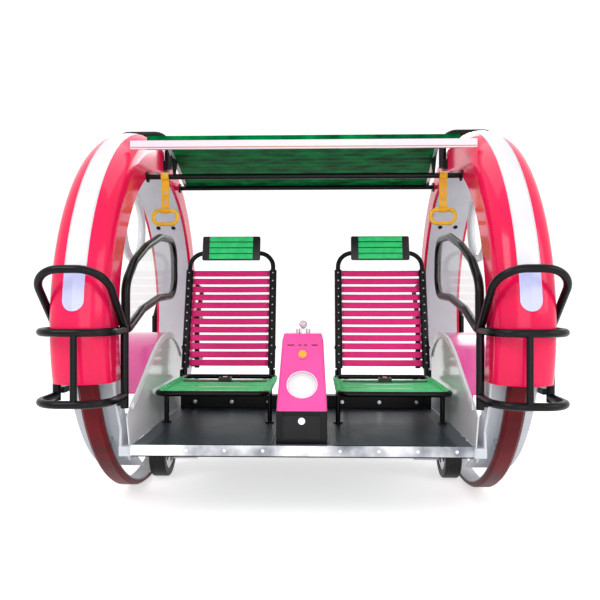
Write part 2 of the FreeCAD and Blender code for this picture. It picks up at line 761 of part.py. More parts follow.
DOOR_Y = -FRONT - GAP - size("panel_wall")
door_leaf = box(("door_width", "panel_wall", "door_height"),
                ("-door_width / 2", "-base_front - seat_gap - panel_wall", "door_low"))
LOCK_Z = size("door_low") + size("door_height") - 22
lock_hole = rod("8", "4 * panel_wall", ("0", "-base_front - 3 * panel_wall", str(LOCK_Z)), "Y")
knuckle_spot = ("-door_width / 2 - 4", "-base_front - seat_gap - panel_wall", "door_low")
door_knuckle = rod("4", "door_height", knuckle_spot)
knuckle_bore = rod("2", "door_height", knuckle_spot)
keep("console_door", cut(fuse(door_leaf, door_knuckle), lock_hole, knuckle_bore))
hinge_x = -size("door_width") / 2 - 4
hinge_pin = Part.makeCylinder(2 - size("pin_clearance"), size("door_height") + 16,
                              Vector(hinge_x, DOOR_Y, size("door_low") - 8))
for hinge_z in (size("door_low") - 8, size("door_low") + size("door_height") + GAP):
    hinge_pin = hinge_pin.fuse(Part.makeBox(8, -FRONT - DOOR_Y + 4, 8 - GAP,
                                            Vector(hinge_x - 4, DOOR_Y - 4, hinge_z)))
keep("console_base", fuse(base_shell, formed(hinge_pin)))

lock_barrel = Part.makeCylinder(8 - size("pin_clearance"), 22, Vector(0, DOOR_Y - 3, LOCK_Z), Vector(0, 1, 0))
lock_face = Part.makeCylinder(size("lock_radius"), 5, Vector(0, DOOR_Y - 5 - GAP, LOCK_Z), Vector(0, 1, 0))
lock_slot = Part.makeBox(2, 3, 12, Vector(-1, DOOR_Y - 5 - GAP, LOCK_Z - 6))
lock_tongue = Part.makeBox(30, 3, 8, Vector(-4, -FRONT + size("panel_wall") + GAP, LOCK_Z - 4))
keep("door_lock", formed(lock_face.cut(lock_slot).fuse([lock_barrel, lock_tongue]).removeSplitter()))


def level(half, front, rear, z):
    """A rectangle across the console at one height."""
    return Part.makePolygon([Vector(-half, front, z), Vector(half, front, z), Vector(half, rear, z),
                             Vector(-half, rear, z), Vector(-half, front, z)])


shell_low = size("base_top") + GAP
SHELL_TOP = size("shell_top")
face_top = SHELL_TOP - 30
base_rear = -FRONT + size("base_depth")
console = Part.makeLoft([level(BASE, -FRONT, base_rear, shell_low), level(BASE - 14, -450, -262, face_top)],
                        True, True)
console = console.fuse(Part.makeLoft([level(BASE - 14, -450, -262, face_top),
                                      level(BASE - 22, -428, -268, SHELL_TOP)], True, True)).removeSplitter()
steep = [edge for edge in console.Edges if abs(edge.BoundBox.ZLength) > 200]
console = console.makeFillet(14, steep)
face_way = Vector(0, FRONT - 450, face_top - shell_low).normalize()
face_out = Vector(0, -face_way.z, face_way.y)
face_start = Vector(0, -FRONT, shell_low)
DOME = size("dome_radius")
DOME_RISE = 34.0
dome_spot = face_start + face_way * 124
button_spot = face_start + face_way * 272
sphere_r = (DOME ** 2 + DOME_RISE ** 2) / (2 * DOME_RISE)
dome_low = math.degrees(math.asin((sphere_r - DOME_RISE) / sphere_r))
dome_centre = dome_spot - face_out * (sphere_r - DOME_RISE - GAP)
dome = Part.makeSphere(sphere_r, dome_centre, face_out, dome_low, 90, 360)
keep("dome_lamp", formed(dome))
BUTTON_R = size("button_radius")
collar = Part.makeCylinder(BUTTON_R + 6, 5, button_spot - face_out, face_out)
console = console.fuse(collar)
console = console.cut(Part.makeCylinder(BUTTON_R + GAP, 40, button_spot - face_out * 14, face_out))
keep("console_shell", formed(console.removeSplitter()))
button = Part.makeCylinder(BUTTON_R, 19, button_spot - face_out * 8, face_out)
keep("amber_button", formed(button.makeFillet(3, [button.Edges[0]])))

# joystick: base ring, gimbal ring on pins along X, lever with pins along Y
STICK_Y = -size("stick_place")
PIVOT_Z = SHELL_TOP + 11
stick_base = Part.makeCylinder(32, 16, Vector(0, STICK_Y, SHELL_TOP + GAP))
stick_base = stick_base.cut(Part.makeCylinder(21, 30, Vector(0, STICK_Y, SHELL_TOP - 5)))
stick_base = stick_base.cut(along_x(2.06, -29, 29, STICK_Y, PIVOT_Z))
gimbal = Part.makeCylinder(17, 5, Vector(0, STICK_Y, PIVOT_Z - 2.5))
gimbal = gimbal.cut(Part.makeCylinder(11, 5, Vector(0, STICK_Y, PIVOT_Z - 2.5)))
gimbal = gimbal.fuse([along_x(2, 13, 27, STICK_Y, PIVOT_Z), along_x(2, -27, -13, STICK_Y, PIVOT_Z)])
gimbal = gimbal.cut(Part.makeCylinder(1.56, 44, Vector(0, STICK_Y - 22, PIVOT_Z), Vector(0, 1, 0)))
lever = Part.makeCylinder(5, 24, Vector(0, STICK_Y, PIVOT_Z - 6))
lever = lever.fuse([Part.makeCylinder(1.5, 31, Vector(0, STICK_Y - 15.5, PIVOT_Z), Vector(0, 1, 0)),
                    Part.makeSphere(size("knob_radius"), Vector(0, STICK_Y, PIVOT_Z + 27))])
keep("joystick_base", formed(stick_base))
keep("joystick_gimbal", formed(gimbal.removeSplitter()))
keep("joystick_lever", formed(lever.removeSplitter()))


# ---------------------------------------------------------------- chairs
CHAIR = size("chair_place")
SIDE = size("chair_half")
BAR = size("chair_tube")
SEAT_Z = size("seat_height")
SEAT_Y = -size("seat_front")
BEAM_Y = size("beam_place") + size("beam_depth") / 2
BEAM_TOP = size("deck_height") + GAP + size("beam_height")
LEG_Y = -230.0
PLATE_HALF = 4.0
leg_low = size("deck_height") + 2 * GAP + size("mat_wall")


def seat_frame():
    """A flat loop of tube on two front legs and two rear legs."""
    corners = [(CHAIR - SIDE, SEAT_Y, SEAT_Z), (CHAIR + SIDE, SEAT_Y, SEAT_Z), (CHAIR + SIDE, BEAM_Y, SEAT_Z),
               (CHAIR - SIDE, BEAM_Y, SEAT_Z)]
    shape = loop(corners, BAR, size("seat_bend"))
    for x in (CHAIR - SIDE, CHAIR + SIDE):
        inward = 1 if x < CHAIR else -1
        leg = Part.makeCylinder(BAR - 1, SEAT_Z - leg_low, Vector(x, LEG_Y, leg_low))
        foot = Part.makeCylinder(size("foot_radius"), 6, Vector(x, LEG_Y, leg_low))
        rear_x = x + inward * 60
        post = Part.makeCylinder(BAR - 1, SEAT_Z - BEAM_TOP - GAP, Vector(rear_x, BEAM_Y, BEAM_TOP + GAP))
        shoe = Part.makeBox(50, 50, 6, Vector(rear_x - 25, BEAM_Y - 25, BEAM_TOP + GAP))
        plate_foot = Part.makeBox(2 * PLATE_HALF, 46, 50,
                                  Vector(x - PLATE_HALF, size("pivot_place") - 23, SEAT_Z))
        shape = shape.fuse([leg, foot, post, shoe, plate_foot])
    return shape.removeSplitter()


keep("seat_frames", both(formed(seat_frame())))

BAND_H = size("band_height")
PITCH = size("band_pitch")
BAND = size("band_wall")
SEAT_BANDS = 11
seat_band = box(("2 * (chair_half - chair_tube - seat_gap)", "band_height", "band_wall"),
                ("chair_place - chair_half + chair_tube + seat_gap", "-seat_front + seat_bend + 1",
                 "seat_height - band_wall / 2"))
seat_bands = [seat_band]
for step in range(1, SEAT_BANDS):
    seat_bands.append(box(("2 * (chair_half - chair_tube - seat_gap)", "band_height", "band_wall"),
                          ("chair_place - chair_half + chair_tube + seat_gap",
                           f"-seat_front + seat_bend + 1 + {step} * band_pitch",
                           "seat_height - band_wall / 2")))
keep("seat_bands", both(group(*seat_bands)))

LEAN = size("recline")
PIVOT = Vector(CHAIR, size("pivot_place"), size("pivot_height"))
BACK_HALF = SIDE - PLATE_HALF - GAP - BAR
SLEEVE = size("sleeve_radius")


def leaned(shape):
    """Turn a back drawn upright at the pivot to its recline."""
    turned_shape = shape.copy()
    turned_shape.rotate(PIVOT, Vector(1, 0, 0), -LEAN)
    return turned_shape


def back_frame():
    """An upturned U of tube with sleeves, bolted to the seat frame's plates."""
    low = PIVOT.z
    high = PIVOT.z + size("back_length")
    y = PIVOT.y
    bar = tube([(CHAIR - BACK_HALF, y, low), (CHAIR - BACK_HALF, y, high), (CHAIR + BACK_HALF, y, high),
                (CHAIR + BACK_HALF, y, low)], BAR, 80)
    parts = []
    for sign in (-1, 1):
        x = CHAIR + sign * BACK_HALF
        parts.append(Part.makeCylinder(SLEEVE, 540, Vector(x, y, low + 40)))
        parts.append(Part.makeCylinder(9, 6, Vector(x + sign * (SLEEVE - 3), y, low + 150), Vector(sign, 0, 0)))
    return leaned(bar.fuse(parts).removeSplitter())


keep("back_frames", both(formed(back_frame())))

BACK_BANDS = 12
band_in = BACK_HALF - SLEEVE - GAP
back_bands = []
for step in range(BACK_BANDS):
    strip = Part.makeBox(2 * band_in, BAND, BAND_H,
                         Vector(CHAIR - band_in, PIVOT.y - BAND / 2, PIVOT.z + 50 + step * PITCH))
    back_bands.append(formed(leaned(strip)))
keep("back_bands", both(group(*back_bands)))

head = Part.makeBox(324, 34, 140, Vector(CHAIR - 162, PIVOT.y - BAR - GAP - 34, PIVOT.z + 628))
head = head.makeFillet(12, [edge for edge in head.Edges if edge.BoundBox.XLength > 300])
keep("headrests", both(formed(leaned(head))))

# lap belts: a flat belt over the seat with a buckle in the middle and its red push button
BELT = size("belt_wall")
BELT_Z = SEAT_Z + BAND / 2 + GAP
BUCKLE_Z = BELT_Z
belt_y = -30.0
half_belt = SIDE - BAR - 20
buckle_half = 32.0
buckle = Part.makeBox(2 * buckle_half, 54, 20, Vector(CHAIR - buckle_half, belt_y, BUCKLE_Z))
buckle = buckle.makeFillet(4, [edge for edge in buckle.Edges if edge.BoundBox.ZLength > 15])
buckle = buckle.cut(Part.makeBox(22 + 2 * GAP, 26 + 2 * GAP, 12,
                                 Vector(CHAIR - 11 - GAP, belt_y + 14 - GAP, BUCKLE_Z + 10)))
belt = Part.makeBox(2 * half_belt, size("belt_width"), BELT, Vector(CHAIR - half_belt, belt_y + 3, BELT_Z))
belt_set = formed(buckle.fuse(belt).removeSplitter())
keep("seat_belts", both(belt_set))
button_box = Part.makeBox(22, 26, 8, Vector(CHAIR - 11, belt_y + 14, BUCKLE_Z + 14))
button_right = formed(button_box)
keep("belt_button_right", button_right)
keep("belt_button_left", mirrored(button_right))


# ---------------------------------------------------------------- canopy
CANOPY_Z = size("canopy_height")
CANOPY_WALL = size("canopy_wall")
FRONT_Y = -size("canopy_front")
BACK_Y = size("canopy_back")
HALF_F = size("canopy_half_front")
HALF_B = size("canopy_half_back")
panel = outline([(-HALF_F, FRONT_Y, CANOPY_Z), (HALF_F, FRONT_Y, CANOPY_Z), (HALF_B, BACK_Y, CANOPY_Z),
                 (-HALF_B, BACK_Y, CANOPY_Z)]).extrude(Vector(0, 0, CANOPY_WALL))
lip_high = size("fascia_height") + 23
lip_half = size("fascia_half") - 70
lip = Part.makeBox(2 * lip_half, CANOPY_WALL, lip_high, Vector(-lip_half, FRONT_Y, CANOPY_Z))
keep("canopy_panel", formed(panel.fuse(lip).removeSplitter()))
keep("canopy_fascia", box(("2 * fascia_half", "fascia_wall", "fascia_height"),
                          ("-fascia_half", "-canopy_front - fascia_wall - seat_gap", "canopy_height")))

FLANK = TRACK - ARCH - GAP
CROSS_Y = -size("cross_place")
CROSS_Z = size("cross_height")
CROSS = size("cross_tube")
REAR_Z = CANOPY_Z - CROSS - GAP
cross_bar = along_x(CROSS, -FLANK, FLANK, CROSS_Y, CROSS_Z)
rear_bar = along_x(CROSS, -FLANK, FLANK, BACK_Y - CROSS, REAR_Z)
frame_parts = [cross_bar, rear_bar]
for x in (-FLANK, FLANK - 6):
    frame_parts.append(along_x(26, x, x + 6, CROSS_Y, CROSS_Z))
    frame_parts.append(along_x(26, x, x + 6, BACK_Y - CROSS, REAR_Z))
for sign in (-1, 1):
    gusset_x = sign * 598 - 2.5
    gusset = outline([(gusset_x, CROSS_Y - 62, CANOPY_Z - GAP), (gusset_x, CROSS_Y + 62, CANOPY_Z - GAP),
                      (gusset_x, CROSS_Y + 10, CROSS_Z), (gusset_x, CROSS_Y - 10, CROSS_Z)])
    frame_parts.append(gusset.extrude(Vector(5, 0, 0)))
canopy_frame = frame_parts[0].fuse(frame_parts[1:]).removeSplitter()
rails = []
for sign in (-1, 1):
    rail = outline([(sign * (HALF_F + GAP), FRONT_Y, CANOPY_Z), (sign * (HALF_F + 18), FRONT_Y, CANOPY_Z),
                    (sign * (HALF_B + 18), BACK_Y, CANOPY_Z), (sign * (HALF_B + GAP), BACK_Y, CANOPY_Z)])
    rail = rail.extrude(Vector(0, 0, 16))
    rails.append(formed(rail.cut(Part.makeBox(2 * lip_half, CANOPY_WALL + GAP, lip_high,
                                              Vector(-lip_half, FRONT_Y, CANOPY_Z)))))
keep("canopy_rails", group(*rails))
keep("canopy_frame", formed(canopy_frame))


# ---------------------------------------------------------------- grab straps
STRAP_X = size("strap_place")
STRAP_W = size("strap_width")
STRAP = size("strap_wall")
GRIP = size("handle_tube")
STRAP_LOW = CROSS_Z - size("strap_length")
GRIP_Z = STRAP_LOW - GRIP


def eye(radius, z):
    """The webbing's turn round a bar."""
    outer = along_x(radius + GAP + STRAP, STRAP_X - STRAP_W / 2, STRAP_X + STRAP_W / 2, CROSS_Y, z)
    return outer.cut(along_x(radius + GAP, STRAP_X - STRAP_W, STRAP_X + STRAP_W, CROSS_Y, z))


web_high = CROSS_Z - CROSS - GAP - STRAP / 2
web_low = GRIP_Z + GRIP + GAP + STRAP / 2
webbing = Part.makeBox(STRAP_W, STRAP, web_high - web_low,
                       Vector(STRAP_X - STRAP_W / 2, CROSS_Y - STRAP / 2, web_low))
webbing = webbing.fuse([eye(CROSS, CROSS_Z), eye(GRIP, GRIP_Z)]).removeSplitter()
for hole_z in (web_low + 32, web_low + 74):
    webbing = webbing.cut(Part.makeCylinder(6, 20, Vector(STRAP_X, CROSS_Y - 10, hole_z), Vector(0, 1, 0)))
grip_half = size("handle_half") - GRIP
grip_drop = size("handle_height") - 2 * GRIP
grip_points = [(STRAP_X - grip_half, CROSS_Y, GRIP_Z), (STRAP_X + grip_half, CROSS_Y, GRIP_Z),
               (STRAP_X + grip_half, CROSS_Y, GRIP_Z - grip_drop),
               (STRAP_X - grip_half, CROSS_Y, GRIP_Z - grip_drop)]
strap_right = formed(webbing)
handle_right = formed(loop(grip_points, GRIP, grip_drop / 2))
keep("grab_strap_right", strap_right)
keep("grab_strap_left", mirrored(strap_right))
keep("strap_handle_right", handle_right)
keep("strap_handle_left", mirrored(handle_right))


# ---------------------------------------------------------------- check and write
doc.recompute()
for thing in doc.Objects:
    if "Invalid" in thing.State or "Error" in thing.State:
        raise RuntimeError(f"{thing.Label} failed: {thing.State}")
for piece in PIECES:
    if piece.Shape.isNull() or not piece.Shape.isValid():
        raise RuntimeError(f"{piece.Label} has no valid shape")

os.makedirs("parts", exist_ok=True)
for piece in PIECES:
    piece.Shape.exportStep(f"parts/{piece.Label}.step")
print(len(PIECES), "pieces written")
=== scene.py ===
"""A two-seat rocking ride car: ring wheels, arches, a cabin with banded chairs, a pedestal and a canopy."""
import math

import bmesh
import bpy
from mathutils import Matrix, Vector


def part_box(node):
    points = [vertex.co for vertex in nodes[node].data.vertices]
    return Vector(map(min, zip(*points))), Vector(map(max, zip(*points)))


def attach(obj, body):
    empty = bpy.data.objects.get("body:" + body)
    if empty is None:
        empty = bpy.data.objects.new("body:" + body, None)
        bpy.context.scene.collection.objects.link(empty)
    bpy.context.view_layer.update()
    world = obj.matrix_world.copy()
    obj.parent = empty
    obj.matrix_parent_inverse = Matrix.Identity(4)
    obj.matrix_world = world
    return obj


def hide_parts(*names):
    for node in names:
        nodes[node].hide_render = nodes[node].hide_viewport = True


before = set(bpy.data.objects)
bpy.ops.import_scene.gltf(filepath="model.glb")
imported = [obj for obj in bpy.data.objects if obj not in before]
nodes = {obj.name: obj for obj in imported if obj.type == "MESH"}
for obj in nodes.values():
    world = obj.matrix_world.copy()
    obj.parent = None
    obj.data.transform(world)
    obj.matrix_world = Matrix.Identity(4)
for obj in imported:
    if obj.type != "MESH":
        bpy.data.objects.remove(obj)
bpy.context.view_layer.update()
bpy.context.scene.view_settings.view_transform = "Standard"


# ---- Helpers for finishes
# Each finish drifts a little in colour and gloss over the surface. Patterns such as ribs, grooves and
# studs stand out as a fine bump.

def relief(tree, height, strength, depth):
    """Let a pattern of heights stand out of the surface as a fine bump, and return the bump."""
    bump = tree.nodes.new("ShaderNodeBump")
    bump.inputs["Strength"].default_value = strength
    bump.inputs["Distance"].default_value = depth
    tree.links.new(height, bump.inputs["Height"])
    tree.links.new(bump.outputs["Normal"], tree.nodes["Principled BSDF"].inputs["Normal"])
    return bump


def wave(tree, direction, scale):
    """Parallel waves across the object's own coordinates."""
    place = tree.nodes.new("ShaderNodeTexCoord")
    ribs = tree.nodes.new("ShaderNodeTexWave")
    ribs.bands_direction = direction
    ribs.inputs["Scale"].default_value = scale
    tree.links.new(place.outputs["Object"], ribs.inputs["Vector"])
    return ribs.outputs["Color"]


def glow(material, colour, strength):
    """Let a lit or translucent piece shine a little by itself."""
    shader = material.node_tree.nodes["Principled BSDF"]
    shader.inputs["Emission Color"].default_value = (*colour, 1.0)
    shader.inputs["Emission Strength"].default_value = strength


GRAIN_DEPTH = 0.0004
COAT_ROUGH = 0.06


def paint(name, colour, shade, rough, metal=0.0, blotch=3.0, grain=0.0, grain_size=400.0, coat=0.0,
          shine=0.5):
    """A finish whose colour and gloss drift a little over the surface, with a fine grain in relief."""
    material = bpy.data.materials.new(name)
    material.use_nodes = True
    tree = material.node_tree
    shader = tree.nodes["Principled BSDF"]
    place = tree.nodes.new("ShaderNodeTexCoord")
    cloud = tree.nodes.new("ShaderNodeTexNoise")
    cloud.inputs["Scale"].default_value = blotch
    cloud.inputs["Detail"].default_value = 5.0
    ramp = tree.nodes.new("ShaderNodeValToRGB")
    ramp.color_ramp.elements[0].position = 0.35
    ramp.color_ramp.elements[0].color = (*shade, 1.0)
    ramp.color_ramp.elements[1].position = 0.65
    ramp.color_ramp.elements[1].color = (*colour, 1.0)
    gloss = tree.nodes.new("ShaderNodeMapRange")
    gloss.inputs["To Min"].default_value = rough[0]
    gloss.inputs["To Max"].default_value = rough[1]
    tree.links.new(place.outputs["Object"], cloud.inputs["Vector"])
    tree.links.new(cloud.outputs["Fac"], ramp.inputs["Fac"])
    tree.links.new(cloud.outputs["Fac"], gloss.inputs["Value"])
    tree.links.new(ramp.outputs["Color"], shader.inputs["Base Color"])
    tree.links.new(gloss.outputs["Result"], shader.inputs["Roughness"])
    shader.inputs["Metallic"].default_value = metal
    shader.inputs["Specular IOR Level"].default_value = shine
    shader.inputs["Coat Weight"].default_value = coat
    shader.inputs["Coat Roughness"].default_value = COAT_ROUGH
    if grain:
        fine = tree.nodes.new("ShaderNodeTexNoise")
        fine.inputs["Scale"].default_value = grain_size
        tree.links.new(place.outputs["Object"], fine.inputs["Vector"])
        relief(tree, fine.outputs["Fac"], grain, GRAIN_DEPTH)
    return material


def dress(node, material):
    """Give a CAD piece its finish."""
    piece = nodes[node]
    piece.data.materials.clear()
    piece.data.materials.append(material)


# ---- Arch shells
# Glossy gel-coated shells that cover the upper half of each ring wheel. They are laid up in a mould,
# polished, and screwed down to the hoop along an inward flange.

arch_gloss = paint("arch gel coat", (1.0, 0.012, 0.105), (0.84, 0.006, 0.075), (0.10, 0.22), blotch=1.6,
                   grain=0.05, grain_size=60.0, coat=0.12, shine=0.2)
dress("arch_shells", arch_gloss)

SIDES = {"left": -1, "right": 1}
_, arch_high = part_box("arch_shells")
ring_low, ring_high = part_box("ring_tyre_right")
axle_z = (ring_low[2] + ring_high[2]) / 2
wheel_x = (ring_low[0] + ring_high[0]) / 2
crown_r = arch_high[2] - axle_z
arch_half = arch_high[0] - wheel_x


def piece_from(mesh, name, material, body="cabin", smooth=True):
    """Turn a bmesh into a piece that rides on a body."""
    bmesh.ops.recalc_face_normals(mesh, faces=mesh.faces)
    data = bpy.data.meshes.new(name)
    mesh.to_mesh(data)
    mesh.free()
    thing = bpy.data.objects.new(name, data)
    bpy.context.scene.collection.objects.link(thing)
    data.materials.append(material)
    if smooth:
        data.shade_smooth()
    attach(thing, body)
    return thing


# ---- Crown stripes
# A pale vinyl stripe runs over the middle of each crown, from the front lamp to the rear one.

stripe_white = paint("pale stripe", (0.86, 0.84, 0.90), (0.78, 0.76, 0.85), (0.18, 0.3), grain=0.05)
_, lamp_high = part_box("arch_lamps")
SHOULDER_R = 0.845
STRIPE_HALF = 0.0425
STRIPE_LIFT = 0.0012
STRIPE_THICK = 0.0007


def crown_point(offset, lift):
    """Radius of the shell's crown at an offset from its middle, plus a lift."""
    rise = crown_r - SHOULDER_R
    return SHOULDER_R + rise * math.sqrt(1 - (offset / arch_half) ** 2) + lift


def spun_strip(side, offsets, lift, start, sweep, steps, name, material):
    """A strip that lies on the crown: a short profile turned about the wheel's axis."""
    mesh = bmesh.new()
    row = []
    for offset in offsets:
        radius = crown_point(offset, lift)
        row.append(mesh.verts.new((side * wheel_x + offset, -radius * math.cos(start),
                                   axle_z + radius * math.sin(start))))
    profile = [mesh.edges.new(pair) for pair in zip(row, row[1:])]
    bmesh.ops.spin(mesh, geom=row + profile, cent=(0, 0, axle_z), axis=(1, 0, 0), angle=-sweep, steps=steps)
    bmesh.ops.solidify(mesh, geom=mesh.faces[:], thickness=STRIPE_THICK)
    return piece_from(mesh, name, material)


lamp_angle = math.asin((lamp_high[2] - axle_z) / crown_r)
offsets = [STRIPE_HALF * step / 4 for step in range(-4, 5)]
for word, side in SIDES.items():
    strip = spun_strip(side, offsets, STRIPE_LIFT, lamp_angle, math.pi - 2 * lamp_angle, 96,
                       f"crown_stripe_{word}", stripe_white)


# ---- Lamps in the arches
# White polycarbonate lenses that end the stripe at the front and rear. Fine ribs on the inside spread
# the light, and the lens is glued into a seat on the crown.

lamp_lens = paint("lamp lens", (0.60, 0.61, 0.97), (0.50, 0.52, 0.92), (0.12, 0.2), coat=0.2)
relief(lamp_lens.node_tree, wave(lamp_lens.node_tree, "Z", 60.0), 0.25, 0.001)
glow(lamp_lens, (0.78, 0.79, 1.0), 0.08)
dress("arch_lamps", lamp_lens)


# ---- Hoops and side frames
# Rolled steel hoops, powder coated pale grey, that carry shells, rollers and cabin. Plates of the same
# finish join them to the floor.

hoop_grey = paint("pale powder coat", (0.74, 0.77, 0.82), (0.64, 0.68, 0.74), (0.28, 0.45), blotch=4.0,
                  grain=0.25, grain_size=700.0)
dress("arch_hoops", hoop_grey)
dress("side_frames", hoop_grey)

chrome = paint("bright chrome", (0.86, 0.87, 0.90), (0.78, 0.80, 0.84), (0.05, 0.14), metal=1.0, blotch=30.0)
steel = paint("zinc plated steel", (0.62, 0.63, 0.66), (0.48, 0.49, 0.53), (0.25, 0.42), metal=1.0,
              blotch=40.0, grain=0.2)
black_gloss = paint("black enamel", (0.004, 0.004, 0.005), (0.002, 0.002, 0.003), (0.22, 0.36), blotch=6.0,
                    grain=0.06, grain_size=250.0, shine=0.18)
dress("hoop_end_bolts", chrome)
dress("roller_brackets", steel)


def bolt_head(mesh, spot, way, radius, height):
    """A hexagon head on a washer, standing on spot along way."""
    turn = Vector((0, 0, 1)).rotation_difference(Vector(way)).to_matrix().to_4x4()
    washer_top = height * 0.25
    for size, low, high, sides in ((radius * 1.5, 0.0, washer_top, 24), (radius, washer_top, height, 6)):
        grown = bmesh.ops.create_cone(mesh, cap_ends=True, segments=sides, radius1=size, radius2=size * 0.94,
                                      depth=high - low)["verts"]
        bmesh.ops.translate(mesh, verts=grown, vec=(0, 0, (low + high) / 2))
        bmesh.ops.transform(mesh, matrix=Matrix.Translation(Vector(spot)) @ turn, verts=grown)


_, hoop_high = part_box("arch_hoops")
HOOP_WALL = 0.006
BOLT_ROWS = (-0.047, 0.043)
BOLT_TURNS = (46, 134, 246, 294)
hoop_in = hoop_high[2] - axle_z - HOOP_WALL
hoop_bolts = bmesh.new()
for side in SIDES.values():
    for offset in BOLT_ROWS:
        for degrees in BOLT_TURNS:
            turn = math.radians(degrees)
            outward = Vector((0, -math.cos(turn), math.sin(turn)))
            seat = Vector((side * wheel_x + offset, 0, axle_z)) + outward * (hoop_in - 0.0002)
            bolt_head(hoop_bolts, seat, -outward, 0.009, 0.008)
piece_from(hoop_bolts, "hoop_side_bolts", black_gloss, smooth=False)


# ---- Ring wheels
# Tall hoops of rolled steel with a moulded red tread. Fine grooves run round the tread, which is scuffed
# darker in places. Each hoop turns on white nylon rollers and pads.

def ring_coat(name, colour, scuffed, groove):
    """A moulded tread with fine grooves that run round the wheel."""
    material = paint(name, colour, scuffed, (0.32, 0.50), blotch=9.0, grain=0.2, grain_size=500.0,
                     shine=0.12)
    tree = material.node_tree
    place = tree.nodes.new("ShaderNodeTexCoord")
    split = tree.nodes.new("ShaderNodeSeparateXYZ")
    across = tree.nodes.new("ShaderNodeMath")
    across.operation = "MULTIPLY"
    across.inputs[1].default_value = groove
    grooves = tree.nodes.new("ShaderNodeMath")
    grooves.operation = "SINE"
    tree.links.new(place.outputs["Object"], split.inputs["Vector"])
    tree.links.new(split.outputs["X"], across.inputs[0])
    tree.links.new(across.outputs["Value"], grooves.inputs[0])
    relief(tree, grooves.outputs["Value"], 0.5, 0.0008)
    return material


tread_red = ring_coat("red tread", (0.17, 0.006, 0.012), (0.09, 0.004, 0.008), 900.0)
rim_grey = paint("rim steel", (0.30, 0.31, 0.33), (0.20, 0.21, 0.23), (0.3, 0.5), metal=0.8, blotch=12.0,
                 grain=0.2)
nylon = paint("white nylon", (0.82, 0.82, 0.78), (0.72, 0.72, 0.67), (0.35, 0.5), grain=0.1)
for word in SIDES:
    dress(f"ring_tyre_{word}", tread_red)
    dress(f"ring_rim_{word}", rim_grey)
    dress(f"guide_roller_{word}_front", nylon)
    dress(f"guide_roller_{word}_rear", nylon)
dress("guide_pads", nylon)


# ---- Drive wheels
# Solid rubber tyres pressed on drilled aluminium hubs, on the shaft of a geared motor under the floor.

drive_rubber = ring_coat("drive tyre rubber", (0.022, 0.022, 0.024), (0.045, 0.043, 0.042), 500.0)
hub_metal = paint("turned aluminium", (0.60, 0.61, 0.63), (0.48, 0.49, 0.51), (0.25, 0.38), metal=1.0,
                  blotch=25.0, grain=0.15)
for word in SIDES:
    dress(f"drive_tyre_{word}", drive_rubber)
    dress(f"drive_hub_{word}", hub_metal)
dress("drive_motors", steel)


# ---- Guards, crown tubes and window frames
# Bent steel tube, welded and enamelled black. The guards bolt to the side frames with welded lugs.

for node in ("front_guards", "rear_guards", "crown_tubes", "window_frames", "canopy_frame", "seat_frames"):
    dress(node, black_gloss)


# ---- Halo rings
# White rings that hang beside each wheel from a short bracket.

halo_white = paint("halo white", (0.86, 0.86, 0.90), (0.78, 0.79, 0.84), (0.12, 0.22), coat=0.4)
dress("halo_rings", halo_white)


# ---- Side window panes
# Clear acrylic sheet with a faint blue tint, held in the tube frame.

pane_clear = paint("clear acrylic", (0.90, 0.95, 0.98), (0.84, 0.91, 0.95), (0.03, 0.07))
pane_clear.node_tree.nodes["Principled BSDF"].inputs["Alpha"].default_value = 0.20
dress("window_panes", pane_clear)


# ---- Pods
# Pink moulded top skins over white cheeks beside the chairs. A bright rubber lip finishes the edge of
# each cheek.

console_pink = paint("pink gel coat", (1.0, 0.075, 0.42), (0.90, 0.05, 0.34), (0.12, 0.24), blotch=2.5,
                     grain=0.05, grain_size=80.0, coat=0.5)
lip_pale = paint("bright lip rubber", (0.92, 0.92, 0.94), (0.86, 0.86, 0.89), (0.2, 0.35), grain=0.1)
cheek_white = paint("cheek white", (0.84, 0.86, 0.88), (0.74, 0.78, 0.80), (0.14, 0.26), blotch=2.2, coat=0.3)
dress("pod_cheeks", cheek_white)
dress("pod_covers", console_pink)
dress("pod_lips", lip_pale)


# ---- Platform
# A welded frame under a steel deck. Dark ribbed mats cover the footwells, and a mirror-polished kick
# plate closes the front edge. A black box beam carries the chairs.

deck_grey = paint("deck grey paint", (0.075, 0.095, 0.125), (0.045, 0.058, 0.08), (0.3, 0.55), blotch=5.0,
                  grain=0.4, grain_size=900.0)
mat_dark = paint("ribbed mat", (0.020, 0.030, 0.050), (0.008, 0.012, 0.020), (0.25, 0.45), blotch=6.0,
                 shine=0.2)
mat_tree = mat_dark.node_tree
mat_place = mat_tree.nodes.new("ShaderNodeTexCoord")
mat_studs = mat_tree.nodes.new("ShaderNodeTexVoronoi")
mat_studs.inputs["Scale"].default_value = 70.0
mat_studs.inputs["Randomness"].default_value = 0.0
mat_tree.links.new(mat_place.outputs["Object"], mat_studs.inputs["Vector"])
relief(mat_tree, mat_studs.outputs["Distance"], 0.6, 0.0015).invert = True
# Polished stainless whose colour swings between near-white and dark grey: these bright and dark blotches are
# painted reflections.
mirror_steel_painted_reflections = paint("polished stainless, painted reflections", (0.88, 0.89, 0.92), (0.16, 0.17, 0.20), (0.03, 0.10), metal=1.0,
                     blotch=5.0, grain=0.04, grain_size=120.0)
battery_case = paint("battery case", (0.10, 0.10, 0.11), (0.06, 0.06, 0.07), (0.4, 0.6), grain=0.3)
dress("deck_plate", deck_grey)
dress("platform_frame", black_gloss)
dress("floor_mats", mat_dark)
dress("kick_plate", mirror_steel_painted_reflections)
dress("seat_beam", black_gloss)
dress("batteries", battery_case)

kick_low, kick_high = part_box("kick_plate")
KICK_PITCH = 0.155
kick_screws = bmesh.new()
for step in range(-4, 5):
    spot = Vector((step * KICK_PITCH, kick_low[1], (kick_low[2] + kick_high[2]) / 2))
    bolt_head(kick_screws, spot, (0, -1, 0), 0.0045, 0.003)
piece_from(kick_screws, "kick_plate_screws", chrome, smooth=False)

